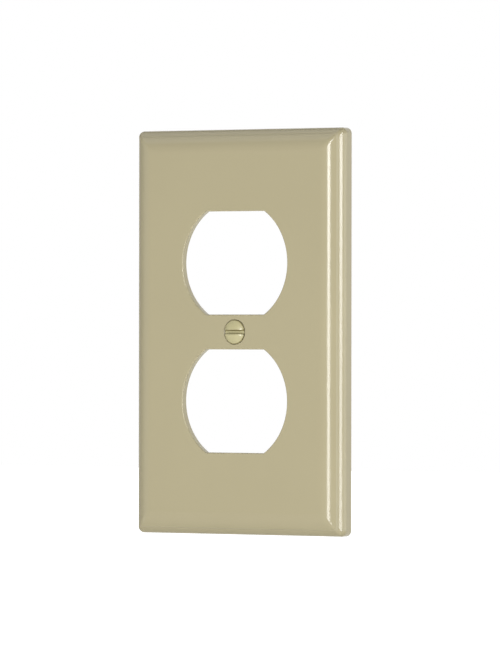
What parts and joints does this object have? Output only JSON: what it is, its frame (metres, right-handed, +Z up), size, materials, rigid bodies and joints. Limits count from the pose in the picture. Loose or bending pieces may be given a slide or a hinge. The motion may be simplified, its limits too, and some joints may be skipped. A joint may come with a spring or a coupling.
{
  "type": "duplex receptacle wall plate",
  "caption": "Single-gang wall plate with a crowned rim and flat-sided round openings for a duplex receptacle, with its slotted oval-head mounting screw.",
  "frame": {"origin": "centre of the plate on the wall plane, on the screw's axis", "axes": "+Z up along the plate's long side, +Y into the wall along the screw, the front faces -Y"},
  "size_m": [0.0698, 0.0138, 0.1142],
  "materials": {
    "ivory_thermoset": "semi-gloss moulded thermoset, ivory",
    "painted_steel": "steel, zinc plated, head painted ivory to match the plate"
  },
  "bodies": {
    "plate": {"wall_plate": "ivory_thermoset"},
    "screw": {"plate_screw": "painted_steel"}
  },
  "joints": [
    {"name": "screw_turn", "type": "hinge", "parent": "plate", "child": "screw", "pos_m": [0, 0, 0], "axis": [0, 1, 0], "continuous": true}
  ]
}
